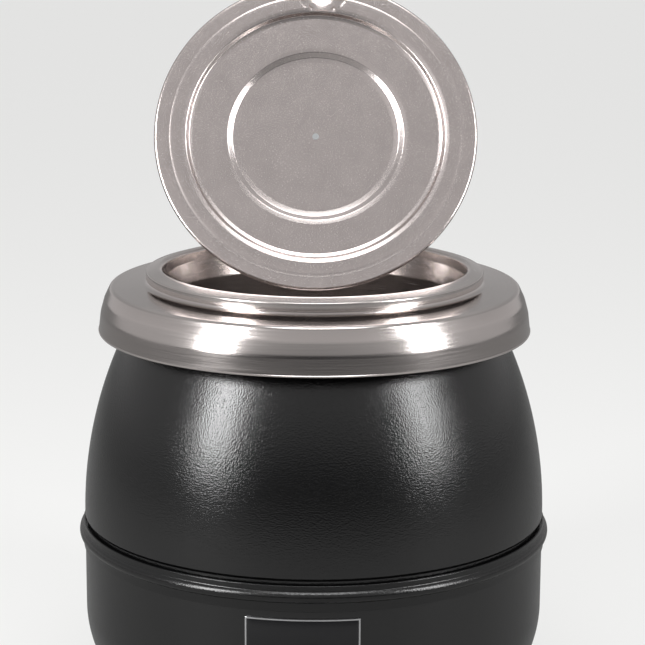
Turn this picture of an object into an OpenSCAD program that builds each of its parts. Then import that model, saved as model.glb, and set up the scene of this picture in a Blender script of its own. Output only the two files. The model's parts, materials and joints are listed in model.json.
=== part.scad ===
// Soup kettle: a dry-wall electric warmer with a water jacket, a lift-out pot
// and a lid on a pull-forward-and-tip hinge.  Millimetres, +Z up, front is -Y.

/* [Casing] */
// Width of the heating space between the water pan and the casing, at the joint band
jacket_w = 48; // [47.5:0.5:52]
// Stand of the joint band's bead out from the casing
bead_out = 4; // [2.5:0.25:6]
// Radius of the lower casing's bottom corner
casing_corner_r = 82; // [81:1:86]
// Thickness of the pressed steel of the casings
casing_t = 1.2; // [1:0.1:1.6]
// Height of the joint band
band_h = 18; // [16:1:22]
// Width of the groove between the joint band and the upper casing
groove_w = 1.6; // [1:0.1:2.4]
// Thickness of the rubber gasket under the water pan's flange
gasket_t = 1; // [0.8:0.1:1.6]

/* [Base] */
// Clear height of the casing above the table
foot_h = 9; // [7:0.5:12]
// Diameter of a rubber foot at the table
foot_d = 26; // [22:1:32]
// Set-back of the feet's middles from the side of the casing
foot_in = 54; // [48:1:66]
// Number of feet
foot_n = 4; // [3:1:6]
// Thickness of the base plate
base_t = 1.2; // [1:0.1:2]

/* [Collar] */
// Spread of the collar's skirt, from the shoulder's edge to its lower edge
skirt_out = 8.8; // [6:0.2:11]
// Width of the collar's shoulder, from the neck to its edge
shoulder_w = 27.8; // [24:0.2:29]
// Height of the collar's skirt below its shoulder
skirt_h = 33; // [28:1:36]
// Drop from the crest of the pot's lip to the collar's shoulder
shoulder_drop = 12.4; // [11.6:0.1:14]
// Clearance between the collar's neck and the pot's turned-down lip
neck_gap = 1.3; // [0.8:0.1:1.8]
// Thickness of the stainless sheet of the collar and the water pan
collar_t = 1; // [0.8:0.1:1.2]

/* [Pot] */
// Width of the pot's lip, from its mouth to its outer edge
lip_w = 11.9; // [11.2:0.1:12.6]
// Width by which the pot flares out to its mouth, at each side
mouth_flare = 2.3; // [1.4:0.1:2.8]
// Fall of the lip's top from its crest to its outer edge
lip_rise = 2.2; // [1.6:0.1:2.6]
// Depth of the lip's turned-down edge
lip_h = 6.2; // [5:0.1:6.6]
// Inner diameter of the pot below its mouth
pot_d = 212; // [200:1:226]
// Inner depth of the pot, from its lip
pot_depth = 249.8; // [220:0.2:290]
// Thickness of the pot's stainless steel
pot_t = 1.2; // [0.8:0.1:1.4]

/* [Water jacket] */
// Width of the water space between the pot and the pan
water_w = 9.8; // [8:0.1:11]
// Depth of the water space under the pot
water_h = 12; // [9:0.5:14]
// Height of the water pan's bottom above the table
pan_z = 50; // [48:1:52]
// Diameter of the ring of the heating element
element_ring_d = 130; // [110:1:140]
// Diameter of the heating element's tube
element_d = 8.5; // [6.5:0.5:9]

/* [Lid] */
// Set-back of the lid's edge from the outer edge of the pot's lip
lid_in = 1.1; // [0.6:0.1:1.8]
// Thickness of the lid's sheet
lid_t = 0.9; // [0.7:0.1:1.2]
// Width of the lid's flat border, outside the step that drops into the pot's mouth
border_w = 25.1; // [23:0.1:29]
// Width of the lid's middle ring, between its two steps
ring_w = 29.5; // [29:0.5:34]
// Rise of each step
step_rise = 3.6; // [2.6:0.1:4.2]
// Gap between the closed lid's rolled edge and the pot's lip
lid_gap = 0.6; // [0.4:0.1:1]
// Radius of the rolled edge
roll_r = 2; // [1.6:0.1:2.2]
// Radius of the arch pressed for the ladle's handle
notch_r = 17.5; // [14:0.5:20]
// Rise of the arch above the lid's edge
notch_rise = 11.5; // [9:0.5:13]
// Turn of the ladle notch about the lid's middle, from the hinge's line
notch_turn = 2.1; // [-3:0.1:3]
// Diameter of the lid's knob
knob_cap_d = 42; // [36:1:46]
// Height of the lid's knob
knob_cap_h = 33; // [30:1:38]

/* [Lid hinge] */
// Angle through which the lid turns, from closed to tipped back
lid_open_angle = 116; // [112:1:116]
// Travel of the hinge slide
slide_travel = 25.2; // [24:0.2:28]
// Distance of the hinge pin in from the middle of the lid's ring, at the back
pin_in = 5.05; // [4:0.05:6]
// Height of the hinge pin above the underside of the lid's edge
pin_v = 12.6; // [12:0.1:14]
// Diameter of the hinge pin
pin_d = 5; // [4:0.5:5.5]
// Width of the sliding plate
slide_w = 20; // [16:1:24]
// Thickness of the sliding plate
slide_t = 2; // [1.6:0.1:2.4]
// Thickness of the bracket's and the leaf's plates
plate_t = 1.8; // [1.4:0.1:2.2]
// Running clearance at each side of a moving plate
run_gap = 0.5; // [0.4:0.1:0.8]
// Radial clearance of a running pin
pin_gap = 0.05; // [0.03:0.01:0.08]

/* [Controls] */
// Height of the control knob's axis above the table
control_z = 52; // [50:1:56]
// Diameter of the control knob
control_d = 42; // [36:1:46]
// Depth of the control knob
control_h = 20; // [16:1:24]
// Diameter of the dial behind the control knob
dial_d = 62; // [56:1:66]
// Diameter of the thermostat's shaft
shaft_d = 6; // [5:0.5:6]
// Angle between the control knob and the indicator lamp
lamp_angle = 17; // [15:1:20]
// Diameter of the indicator lamp's lens
lamp_d = 8; // [6:0.5:9]
// Width of the badge, along the casing
badge_w = 77; // [60:1:80]
// Height of the badge
badge_h = 22; // [16:1:24]
// Gap between the badge and the joint band
badge_gap = 5; // [2:0.5:8]
// Gap between the badge and the dial
dial_gap = 2; // [1:0.5:6]
// Turn of the badge about the kettle's axis, from the front
badge_turn = -2.3; // [-3:0.1:3]
// Bore of the cord gland
gland_bore_d = 7.5; // [6:0.5:8.5]

/* [Hidden] */
$fn = 96;

// Radii, each from the pot's bore outwards
mouth_d = pot_d + 2 * mouth_flare;
lip_d = mouth_d + 2 * lip_w;
neck_d = lip_d - 2 * (pot_t + neck_gap);
shoulder_d = neck_d + 2 * shoulder_w;
collar_d = shoulder_d + 2 * skirt_out;
lid_d = lip_d - 2 * lid_in;
pan_d = pot_d + 2 * (pot_t + water_w);
casing_d = pan_d + 2 * (collar_t + jacket_w);
bead_d = casing_d + 2 * bead_out;
step_a_d = lid_d - 2 * border_w;
step_b_d = step_a_d - 2 * ring_w;
// Crest of the pot's lip, from the pan's bottom upwards
rim_z = pan_z + water_h + pot_t + pot_depth;
// Heights of the casings: the dial, the badge and the joint band are stacked upwards
bead_z = control_z + dial_d / 2 + dial_gap + badge_h + badge_gap + band_h / 2 + 1;
casing_r = casing_d / 2;
foot_r = casing_r - foot_in;
band_top = bead_z + band_h / 2 - 1;
band_bot = band_top - band_h;
upper_z0 = band_top - 12;
lower_z1 = band_bot + 6;
arc_z = band_top + groove_w + 3;
corner_z = foot_h - 1 + 58;
casing_bot = foot_h - 1;
// Where the pan, the gasket and the upper casing's flange are stacked under the shoulder
shoulder_z = rim_z - shoulder_drop;
stack_z = shoulder_z - 0.2 - collar_t;
pan_flange_z = stack_z - collar_t;
gasket_z = pan_flange_z - gasket_t;
// Flat underside of the pot's lip, where it sits on the collar
seat_z = rim_z - lip_rise - pot_t;
flange_z = gasket_z - casing_t;
pan_r = pan_d / 2;
flange_r = pan_r + collar_t + 9;
// Arc that draws the upper casing in to its flange
arc_h = flange_z - 12 - arc_z;
top_r = flange_r - 1;
arc_in = casing_r - top_r;
casing_arc_r = (arc_h * arc_h + arc_in * arc_in) / (2 * arc_in);
// Floor of the lower casing's flange, outer radius there, and the base plate
base_z = casing_bot + casing_t;
foot_edge_r = wall_at(casing_bot);
plate_r = foot_edge_r - 2.8;
hem_r = plate_r - 6;
// Lid and hinge: the pin's place with the slide pulled forward, then the lid's middle
lid_r = lid_d / 2;
pin_u = (step_a_d + step_b_d) / 4 - pin_in;
pin_y = pin_u - slide_travel;
pin_z = rim_z + lid_gap + pin_v;
lid_y = pin_y + pin_u * cos(180 - lid_open_angle) - pin_v * sin(lid_open_angle);
lid_z = pin_z + pin_u * sin(lid_open_angle) - pin_v * cos(lid_open_angle);
pin_r = pin_d / 2;
eye_r = pin_r + 2.1;
ear_x = slide_w / 2 + run_gap;
guide_x = slide_w / 2 + run_gap;
guide_y0 = lid_r - 30.5;
guide_y1 = lid_r + 15;
foot_y0 = lid_r + 2.4;
tongue_w = 44;
stop_y = lid_r - 15;
stop_r = 2;
// Controls
shaft_r = shaft_d / 2;
bush_r = shaft_r + 2;
wall_y = -casing_r;
dial_y = wall_y - 4.5;
therm_y = -(pan_r + collar_t + 22);
term_y = casing_r - 70;
gland_z = foot_h + 35;
// Outer radius of the lower casing at height z
function wall_at(z) = z >= corner_z ? casing_r :
  casing_r - casing_corner_r + sqrt(pow(casing_corner_r, 2) - pow(corner_z - z, 2));

// ---------------------------------------------------------------- helpers

// Round bar from point p to point q
module rod(p, q, r) {
  d = q - p;
  len = norm(d);
  translate(p) rotate([0, acos(d[2] / len), atan2(d[1], d[0])]) cylinder(h = len, r = r, $fn = 32);
}

// Round bar bent through a list of points, with a slightly fuller ball at each bend
module bent_rod(pts, r) {
  for (i = [0 : len(pts) - 2]) rod(pts[i], pts[i + 1], r);
  for (i = [1 : len(pts) - 2]) translate(pts[i]) sphere(r = r * 1.15, $fn = 32);
}

// Sheet of thickness t over the polyline pts, which runs outwards in radius
module sheet_2d(pts, t) {
  n = len(pts);
  polygon(concat(pts, [for (i = [n - 1 : -1 : 0]) pts[i] + [0, t]]));
}

// Copies on the circle of the feet
module at_feet() {
  for (i = [0 : foot_n - 1]) rotate([0, 0, 360 / foot_n * (i + 0.5)]) translate([foot_r, 0, 0]) children();
}

// Hexagonal nut, height h, width across flats w, bore radius r
module nut(w, h, r) {
  difference() {
    cylinder(h = h, d = w / cos(30), $fn = 6);
    translate([0, 0, -1]) cylinder(h = h + 2, r = r, $fn = 32);
  }
}

// The lid's own frame: middle of the underside of its edge, +Y to the hinge, +Z outwards
module lid_frame() {
  translate([0, lid_y, lid_z]) rotate([-lid_open_angle, 0, 0]) children();
}

// ---------------------------------------------------------------- casings

// Half section of the lower casing's wall, at a distance in from its outer face
module lower_wall_2d(inset) {
  difference() {
    union() {
      square([casing_r - inset, lower_z1]);
    }
    difference() {
      translate([casing_r - casing_corner_r, 0]) square([casing_corner_r + 1, corner_z]);
      translate([casing_r - casing_corner_r, corner_z]) circle(r = casing_corner_r - inset, $fn = 180);
    }
    translate([-1, -1]) square([casing_r + 2, casing_bot + 1]);
  }
}

module lower_casing_solid(inset) {
  rotate_extrude($fn = 360) lower_wall_2d(inset);
}

module lower_casing() {
  color("#17171a") difference() {
    rotate_extrude() {
      difference() {
        lower_wall_2d(0);
        lower_wall_2d(casing_t);
      }
      translate([hem_r, casing_bot]) square([foot_edge_r - 0.6 - hem_r, casing_t]);
    }
    translate([0, wall_y + 12, control_z]) rotate([90, 0, 0]) cylinder(h = 20, r = bush_r + 0.4);
    rotate([0, 0, lamp_angle]) translate([0, wall_y + 12, control_z]) rotate([90, 0, 0])
      cylinder(h = 20, r = lamp_d / 2 + 0.6);
    translate([0, casing_r - 14, gland_z]) rotate([-90, 0, 0]) cylinder(h = 20, r = gland_bore_d / 2 + 2.3);
    for (a = [45 : 90 : 315]) rotate([0, 0, a]) translate([plate_r - 3, 0, casing_bot - 1])
      cylinder(h = 4, r = 2.1, $fn = 32);
  }
}

module upper_casing() {
  color("#17171a") rotate_extrude() {
    translate([casing_r - 1.8 - casing_t, upper_z0]) square([casing_t, arc_z - upper_z0 - 1]);
    polygon([[casing_r - 1.8 - casing_t, arc_z - 2], [casing_r - 1.8, arc_z - 2],
      [casing_r, arc_z], [casing_r - casing_t, arc_z + 0.2]]);
    intersection() {
      translate([casing_r - casing_arc_r, arc_z]) difference() {
        circle(r = casing_arc_r, $fn = 360);
        circle(r = casing_arc_r - casing_t, $fn = 360);
      }
      translate([flange_r - 10, arc_z]) square([casing_r, arc_h]);
    }
    polygon([[top_r - casing_t, flange_z - 12.5], [top_r - 0.1, flange_z - 12.1], [flange_r + 1, flange_z],
      [flange_r + 1, flange_z + casing_t], [flange_r - 0.5, flange_z + casing_t]]);
    translate([pan_r + collar_t + 0.6, flange_z]) square([flange_r - pan_r - collar_t, casing_t]);
  }
}

// Black band with a rolled bead that covers the joint of the two casings
module joint_band() {
  bead_r = bead_out;
  color("#1b1b1e") rotate_extrude() {
    translate([casing_r, band_bot]) square([1.2, band_h]);
    intersection() {
      translate([bead_d / 2 - bead_r, bead_z]) circle(r = bead_r, $fn = 48);
      translate([casing_r, bead_z - bead_r - 1]) square([bead_r + bead_d, 2 * bead_r + 2]);
    }
    translate([casing_r - 1.6, band_top - 6]) square([2, 1.5]);
  }
}

// ---------------------------------------------------------------- base

module base_plate() {
  color("#8d9093") difference() {
    union() {
      translate([0, 0, base_z]) cylinder(h = base_t, r = plate_r);
      rotate_extrude() translate([plate_r - 22, base_z]) square([base_t, 6]);
    }
    at_feet() translate([0, 0, base_z - 1]) cylinder(h = 4, r = 2.2, $fn = 32);
    translate([0, 0, base_z - 1]) cylinder(h = 4, r = 4.3, $fn = 48);
    for (a = [45 : 90 : 315]) rotate([0, 0, a]) translate([plate_r - 3, 0, base_z - 1])
      cylinder(h = 4, r = 2, $fn = 32);
    for (i = [-4 : 4]) translate([i * 9, 62, base_z - 1]) cylinder(h = 4, r = 2.5, $fn = 32);
  }
}

module rubber_feet() {
  color("#222222") at_feet() difference() {
    rotate_extrude() polygon([[0, 0], [foot_d / 2 - 1, 0], [foot_d / 2, 1.2], [foot_d / 2 - 2, base_z], [0, base_z]]);
    translate([0, 0, -1]) cylinder(h = 4.2, r = 5, $fn = 48);
    translate([0, 0, 2]) cylinder(h = base_z, r = 2.1, $fn = 32);
  }
}

module foot_screws() {
  color("#b8babd") at_feet() {
    translate([0, 0, 0.8]) cylinder(h = 2.4, r = 3.8, $fn = 48);
    translate([0, 0, 3]) cylinder(h = base_z + base_t + 2.2, r = 2, $fn = 32);
  }
}

module foot_nuts() {
  color("#b8babd") at_feet() translate([0, 0, base_z + base_t]) nut(7, 3.2, 2.05);
}

module casing_screws() {
  color("#b8babd") for (a = [45 : 90 : 315]) rotate([0, 0, a]) translate([plate_r - 3, 0, 0]) {
    translate([0, 0, casing_bot - 2.2]) cylinder(h = 2.2, r = 3.6, $fn = 48);
    translate([0, 0, casing_bot - 1]) cylinder(h = casing_t + base_t + 3.5, r = 1.95, $fn = 32);
  }
}

// ---------------------------------------------------------------- collar and water jacket

module collar_ring() {
  r_out = collar_d / 2;
  r_sh = shoulder_d / 2;
  r_neck = neck_d / 2;
  edge_z = shoulder_z - skirt_h;
  cove = 4.4;
  blend = 3.4;
  color("#c9c4c1") rotate_extrude() {
    // neck, with its folded-in top edge that carries the pot's lip
    translate([r_neck - collar_t, shoulder_z + cove - 0.05]) square([collar_t, seat_z - shoulder_z - cove + 0.05]);
    translate([r_neck - 3, seat_z - 1.6]) square([3, 1.6]);
    // cove from the neck to the shoulder
    intersection() {
      translate([r_neck + cove, shoulder_z + cove]) difference() {
        circle(r = cove + collar_t, $fn = 64);
        circle(r = cove, $fn = 64);
      }
      translate([r_neck - collar_t, shoulder_z - collar_t]) square([cove + collar_t, cove + collar_t]);
    }
    // shoulder, skirt and blend between them
    sheet_2d([[r_neck + cove - 0.1, shoulder_z - collar_t], [r_sh - blend, shoulder_z - collar_t - 0.4]], collar_t);
    intersection() {
      translate([r_sh - blend, shoulder_z - 0.4 - blend]) difference() {
        circle(r = blend, $fn = 64);
        circle(r = blend - collar_t, $fn = 64);
      }
      translate([r_sh - blend - 0.05, shoulder_z - 0.4 - blend]) square([blend + 1, blend + 1]);
    }
    polygon([[r_sh + (r_out - r_sh) * 0.5 - collar_t, shoulder_z - 9.6],
      [r_sh + (r_out - r_sh) * 0.8 - collar_t, shoulder_z - 19], [r_out - 0.4 - collar_t, edge_z + 1.6],
      [r_out - 0.4, edge_z + 1.6], [r_sh + (r_out - r_sh) * 0.8, shoulder_z - 19],
      [r_sh + (r_out - r_sh) * 0.5, shoulder_z - 9.6], [r_sh, shoulder_z - 0.3 - blend],
      [r_sh - collar_t, shoulder_z - 0.3 - blend]]);
    translate([r_out - 1.5, edge_z + 1.5]) circle(r = 1.5, $fn = 32);
  }
}

module pan_gasket() {
  color("#3a3a3a") rotate_extrude() translate([pan_r + collar_t + 0.6, gasket_z])
    square([flange_r - pan_r - collar_t - 0.6, gasket_t]);
}

module water_pan() {
  color("#b9bbbd") rotate_extrude() {
    translate([0, pan_z - collar_t]) square([pan_r - 6, collar_t]);
    intersection() {
      translate([pan_r - 6, pan_z + 6]) difference() {
        circle(r = 6 + collar_t, $fn = 64);
        circle(r = 6, $fn = 64);
      }
      translate([pan_r - 6.05, pan_z - 2]) square([8, 8.05]);
    }
    translate([pan_r, pan_z + 6]) square([collar_t, pan_flange_z + collar_t - pan_z - 6]);
    translate([pan_r, pan_flange_z]) square([flange_r - pan_r, collar_t]);
  }
}

// ---------------------------------------------------------------- heating

plate_h = 4;
heat_z = pan_z - collar_t - plate_h;
element_z = heat_z - element_d / 2;
clamp_z = heat_z - element_d - 2;

module heat_plate() {
  color("#a9adb0") difference() {
    translate([0, 0, heat_z]) cylinder(h = plate_h, r = element_ring_d / 2 + 27);
    translate([0, 0, heat_z - 1]) cylinder(h = plate_h + 2, r = 4.3, $fn = 48);
  }
}

module heating_element() {
  r = element_ring_d / 2;
  color("#6f6b66") {
    translate([0, 0, element_z]) rotate([0, 0, 100]) rotate_extrude(angle = 340)
      translate([r, 0]) circle(d = element_d, $fn = 32);
    for (a = [100, 80]) rotate([0, 0, a]) {
      translate([r, 0, element_z]) sphere(d = element_d, $fn = 32);
      translate([r, 0, element_z - 14]) cylinder(h = 14, d = element_d, $fn = 32);
      translate([r, 0, element_z - 21]) cylinder(h = 8, d = 3, $fn = 32);
    }
  }
}

module element_clamp() {
  color("#9a9da0") difference() {
    translate([-element_ring_d / 2 - 12, -11, clamp_z]) cube([element_ring_d + 24, 22, 2]);
    translate([0, 0, clamp_z - 1]) cylinder(h = 4, r = 4.3, $fn = 48);
  }
}

module tie_stud() {
  color("#b8babd") translate([0, 0, base_z - 6.6]) cylinder(h = pan_z - collar_t - base_z + 6.6, r = 4, $fn = 48);
}

module tie_nuts() {
  color("#b8babd") {
    translate([0, 0, clamp_z - 6.5]) nut(13, 6.5, 4.05);
    translate([0, 0, base_z - 5.2]) nut(13, 5.2, 4.05);
    translate([0, 0, base_z + base_t]) nut(13, 5.2, 4.05);
  }
}

module thermal_cutout() {
  color("#2b2b2b") translate([0, -element_ring_d / 2 - 15, heat_z - 8]) {
    cylinder(h = 8, r = 8.5, $fn = 48);
    for (s = [-1, 1]) translate([s * 5 - 0.4, -3, -6]) cube([0.8, 6, 6.5]);
  }
}

// ---------------------------------------------------------------- thermostat and wiring

module thermostat_body() {
  color("#d8d2c4") difference() {
    union() {
      translate([-17, therm_y + 1.6, control_z - 17]) cube([34, 19, 34]);
      translate([0, therm_y + 2, control_z]) rotate([90, 0, 0]) cylinder(h = 13, r = bush_r);
      for (s = [-1, 1]) translate([s * 9 - 3, therm_y + 20, control_z - 12]) cube([6, 6, 0.8]);
    }
    translate([0, therm_y + 18, control_z]) rotate([90, 0, 0]) cylinder(h = 40, r = shaft_r + pin_gap);
  }
}

module thermostat_bracket() {
  color("#8d9093") difference() {
    union() {
      translate([-20, therm_y, base_z + base_t]) cube([40, 1.6, control_z + 19 - base_z - base_t]);
      translate([-20, therm_y, base_z + base_t]) cube([40, 12, 1.6]);
    }
    translate([0, therm_y + 4, control_z]) rotate([90, 0, 0]) cylinder(h = 8, r = bush_r + 0.05);
  }
}

module thermostat_capillary() {
  b = 150;
  bulb = [(pan_r + collar_t + 3.6) * sin(b), (pan_r + collar_t + 3.6) * cos(b), pan_z + 20];
  color("#b87333") {
    translate(bulb) cylinder(h = 62, r = 3.2, $fn = 32);
    bent_rod([[17.05, therm_y + 14, control_z + 6], [30, therm_y + 14, control_z + 6],
      [46, therm_y + 18, control_z + 9], bulb + [0, 0, 1]], 0.9);
  }
}

module terminal_block() {
  color("#e6e2d6") translate([-24, term_y, base_z + base_t]) difference() {
    union() {
      cube([48, 18, 4]);
      for (i = [0 : 2]) translate([3 + i * 15, 2, 3]) cube([12, 14, 13]);
    }
    for (i = [0 : 2]) {
      translate([9 + i * 15, 9, 9]) cylinder(h = 10, r = 2.2, $fn = 32);
      translate([9 + i * 15, -1, 9]) rotate([-90, 0, 0]) cylinder(h = 20, r = 1.9, $fn = 32);
    }
  }
}

module earth_stud() {
  color("#c9a94a") translate([36, term_y - 14, base_z + base_t]) {
    cylinder(h = 14, r = 2, $fn = 32);
    cylinder(h = 3.2, d = 7 / cos(30), $fn = 6);
    translate([0, 0, 3.2]) cylinder(h = 0.8, r = 4.5, $fn = 32);
  }
}

module internal_wiring() {
  r = element_ring_d / 2;
  tz = base_z + base_t + 9;
  ez = element_z - 20;
  color("#9c3b2e") for (s = [-1, 1]) {
    bent_rod([[s * 15, term_y + 1, tz], [s * 15, term_y - 8, tz], [s * r * sin(10), r + 6, ez],
      [s * r * sin(10), r * cos(10) + 1.6, ez]], 1.5);
    bent_rod([[s * 15, term_y + 17, tz], [s * 15, term_y + 24, tz], [s * (casing_r - 46), 40, tz + 6],
      [s * (casing_r - 56), -60, tz + 6], [s * 12, therm_y + 27.2, control_z - 12]], 1.5);
  }
}

// ---------------------------------------------------------------- front of the casing

module dial_plate() {
  color("#c4c6c8") difference() {
    union() {
      translate([0, wall_y + 15, control_z]) rotate([90, 0, 0]) cylinder(h = wall_y + 15 - dial_y, d = dial_d);
      for (i = [0 : 9]) translate([0, dial_y + 0.5, control_z]) rotate([0, 135 - 270 * i / 9, 0])
        translate([-0.6, -1, dial_d / 2 - 6]) cube([1.2, 1, 4]);
    }
    lower_casing_solid(0);
    translate([0, wall_y + 12, control_z]) rotate([90, 0, 0]) cylinder(h = 20, r = bush_r + 0.4);
  }
}

module at_lamp() {
  rotate([0, 0, lamp_angle]) translate([0, 6 - wall_at(control_z), control_z]) rotate([90, 0, 0]) children();
}

module lamp_bezel() {
  color("#c4c6c8") difference() {
    union() {
      at_lamp() cylinder(h = 8, r = lamp_d / 2 + 0.55, $fn = 48);
      difference() {
        at_lamp() translate([0, 0, 3]) cylinder(h = 5.2, r = lamp_d / 2 + 2, $fn = 48);
        lower_casing_solid(0);
      }
    }
    at_lamp() translate([0, 0, -1]) cylinder(h = 11, r = lamp_d / 2 + 0.02, $fn = 48);
  }
}

module lamp_lens() {
  color("#d8741a") at_lamp() translate([0, 0, -4]) {
    cylinder(h = 12, r = lamp_d / 2, $fn = 48);
    intersection() {
      translate([0, 0, 12 - lamp_d / 2]) sphere(r = lamp_d / 2 * 1.414, $fn = 48);
      translate([0, 0, 10]) cylinder(h = 6, r = lamp_d / 2, $fn = 48);
    }
  }
}

// Blank badge: a thin frame round a plain face, both bent to the casing
module badge_block(w, h, r0, t) {
  a = w / casing_r * 180 / PI;
  rotate([0, 0, -90 + badge_turn - a / 2]) rotate_extrude(angle = a, $fn = 720)
    translate([r0, band_bot - badge_gap - badge_h / 2 - h / 2]) square([t, h]);
}

module badge_frame() {
  color("#d3d5d7") difference() {
    badge_block(badge_w, badge_h, casing_r, 1.4);
    badge_block(badge_w - 2.4, badge_h - 2.4, casing_r + 0.6, 2);
  }
}

module badge_face() {
  color("#0d0d0f") badge_block(badge_w - 2.4, badge_h - 2.4, casing_r + 0.6, 0.5);
}

module cord_gland() {
  r = gland_bore_d / 2;
  color("#1e1e20") difference() {
    union() {
      difference() {
        translate([0, casing_r, gland_z]) rotate([-90, 0, 0]) {
          translate([0, 0, -9]) cylinder(h = 14, d = (2 * r + 9) / cos(30), $fn = 6);
          translate([0, 0, 5]) cylinder(h = 3, r = r + 3, $fn = 48);
          translate([0, 0, 8]) cylinder(h = 9, d = (2 * r + 9) / cos(30), $fn = 6);
          translate([0, 0, 17]) cylinder(h = 8.1, r1 = r + 4.3, r2 = r + 1.6, $fn = 48);
        }
        lower_casing_solid(0);
      }
      translate([0, casing_r - 12, gland_z]) rotate([-90, 0, 0]) cylinder(h = 13, r = r + 2.25, $fn = 48);
    }
    translate([0, casing_r - 13, gland_z]) rotate([-90, 0, 0]) cylinder(h = 40, r = r, $fn = 48);
  }
}

module gland_nut() {
  r = gland_bore_d / 2;
  color("#1e1e20") translate([0, casing_r - 11.6, gland_z]) rotate([-90, 0, 0]) nut(2 * r + 9, 4.4, r + 2.3);
}

// ---------------------------------------------------------------- control knob

module control_knob() {
  k = control_d / 2;
  color("#1a1a1c") translate([0, dial_y - 0.6, control_z]) rotate([90, 0, 0]) difference() {
    union() {
      rotate_extrude() polygon([[0, 0], [k, 0], [k, 3], [k - 1.5, 4.5], [k - 3, 4.5], [k - 5, control_h - 1.2],
        [k - 6.2, control_h], [0, control_h]]);
      translate([-4, -k + 2, 3]) cube([8, 2 * k - 4, control_h - 3]);
    }
    translate([0, 0, -1]) cylinder(h = control_h - 3, r = shaft_r, $fn = 48);
    translate([-0.7, k - 12, control_h - 0.6]) cube([1.4, 11, 2]);
  }
}

module thermostat_shaft() {
  tip = dial_y - 0.6 - control_h + 4;
  color("#b8babd") translate([0, tip, control_z]) rotate([-90, 0, 0]) cylinder(h = therm_y + 16 - tip, r = shaft_r, $fn = 48);
}

// ---------------------------------------------------------------- pot

module inset_pot() {
  r_lip = lip_d / 2;
  r_m = mouth_d / 2;
  r_w = pot_d / 2;
  z_in = rim_z - pot_depth;
  corner = 22;
  edge = 3;
  color("#cfcac6") {
    rotate_extrude() {
      // lip: top that falls outwards, flat seat, rounded inner edge, turned-down outer edge
      polygon([[r_m + edge, rim_z], [r_lip - 1.2, rim_z - lip_rise], [r_lip - 1.2, seat_z], [r_m + pot_t, seat_z],
        [r_m + pot_t, rim_z - 2.6], [r_m + edge, rim_z - 2.6]]);
      translate([r_lip - 1.2, rim_z - lip_rise - 1.2]) circle(r = 1.2, $fn = 32);
      translate([r_lip - pot_t, rim_z - lip_rise - lip_h + 0.6]) square([pot_t, lip_h - 1.8]);
      translate([r_lip - pot_t / 2, rim_z - lip_rise - lip_h + 0.6]) circle(r = 0.6, $fn = 24);
      intersection() {
        translate([r_m + edge, rim_z - edge]) circle(r = edge, $fn = 48);
        translate([r_m - 0.1, rim_z - edge]) square([edge + 0.15, edge + 0.1]);
      }
      // mouth, flare and wall
      polygon([[r_m, rim_z - edge + 0.05], [r_m - 0.2, rim_z - 9], [r_w, rim_z - 24], [r_w, z_in + corner - 0.05],
        [r_w + pot_t, z_in + corner - 0.05], [r_w + pot_t, rim_z - 24], [r_m + pot_t - 0.2, rim_z - 9],
        [r_m + pot_t, rim_z - edge + 0.05]]);
      intersection() {
        translate([r_w - corner, z_in + corner]) difference() {
          circle(r = corner + pot_t, $fn = 96);
          circle(r = corner, $fn = 96);
        }
        translate([r_w - corner - 0.05, z_in - 2]) square([corner + 4, corner + 2]);
      }
      translate([0, z_in - pot_t]) square([r_w - corner, pot_t]);
    }
    // tongue that carries the hinge bracket
    translate([-tongue_w / 2, r_m + 4, rim_z - pot_t]) cube([tongue_w, guide_y1 - r_m - 4, pot_t]);
  }
}

// ---------------------------------------------------------------- lid hinge

module hinge_bracket() {
  z0 = pin_z - slide_t / 2 - run_gap - plate_t;
  z1 = pin_z + slide_t / 2 + run_gap;
  y0 = guide_y0;
  y1 = guide_y1;
  color("#bcbec0") difference() {
    union() {
      // foot
      translate([-tongue_w / 2, foot_y0, rim_z]) cube([tongue_w, y1 - foot_y0, plate_t]);
      // guide channel: floor and roof
      translate([-guide_x - plate_t, y0, z0]) cube([2 * (guide_x + plate_t), y1 - y0, plate_t]);
      translate([-guide_x - plate_t, y0, z1]) cube([2 * (guide_x + plate_t), y1 - y0, plate_t]);
      // side plates
      for (s = [0, 1]) mirror([s, 0, 0]) {
        translate([guide_x, y0, z0]) cube([plate_t, y1 - y0, z1 - z0 + plate_t]);
        translate([guide_x, foot_y0, rim_z]) cube([plate_t, y1 - foot_y0, z1 - rim_z + plate_t]);
      }
    }
    translate([0, stop_y, z0 - 1]) cylinder(h = 12, r = stop_r, $fn = 48);
    for (s = [-1, 1]) translate([s * (tongue_w / 2 - 4), (foot_y0 + y1) / 2, rim_z - 1]) cylinder(h = 5, r = 1.6, $fn = 32);
  }
}

module bracket_rivets() {
  color("#a5a7a9") for (s = [-1, 1]) translate([s * (tongue_w / 2 - 4), (foot_y0 + guide_y1) / 2, rim_z]) {
    translate([0, 0, plate_t]) cylinder(h = 1.4, r = 3, $fn = 32);
    cylinder(h = plate_t + 0.2, r = 1.6, $fn = 32);
  }
}

module stop_rivet() {
  z0 = pin_z - slide_t / 2 - run_gap - plate_t;
  z1 = pin_z + slide_t / 2 + run_gap + plate_t;
  color("#a5a7a9") translate([0, stop_y, 0]) {
    translate([0, 0, z0]) cylinder(h = z1 - z0, r = stop_r, $fn = 48);
    translate([0, 0, z1]) cylinder(h = 1.4, r = stop_r + 1.6, $fn = 48);
  }
}

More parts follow.
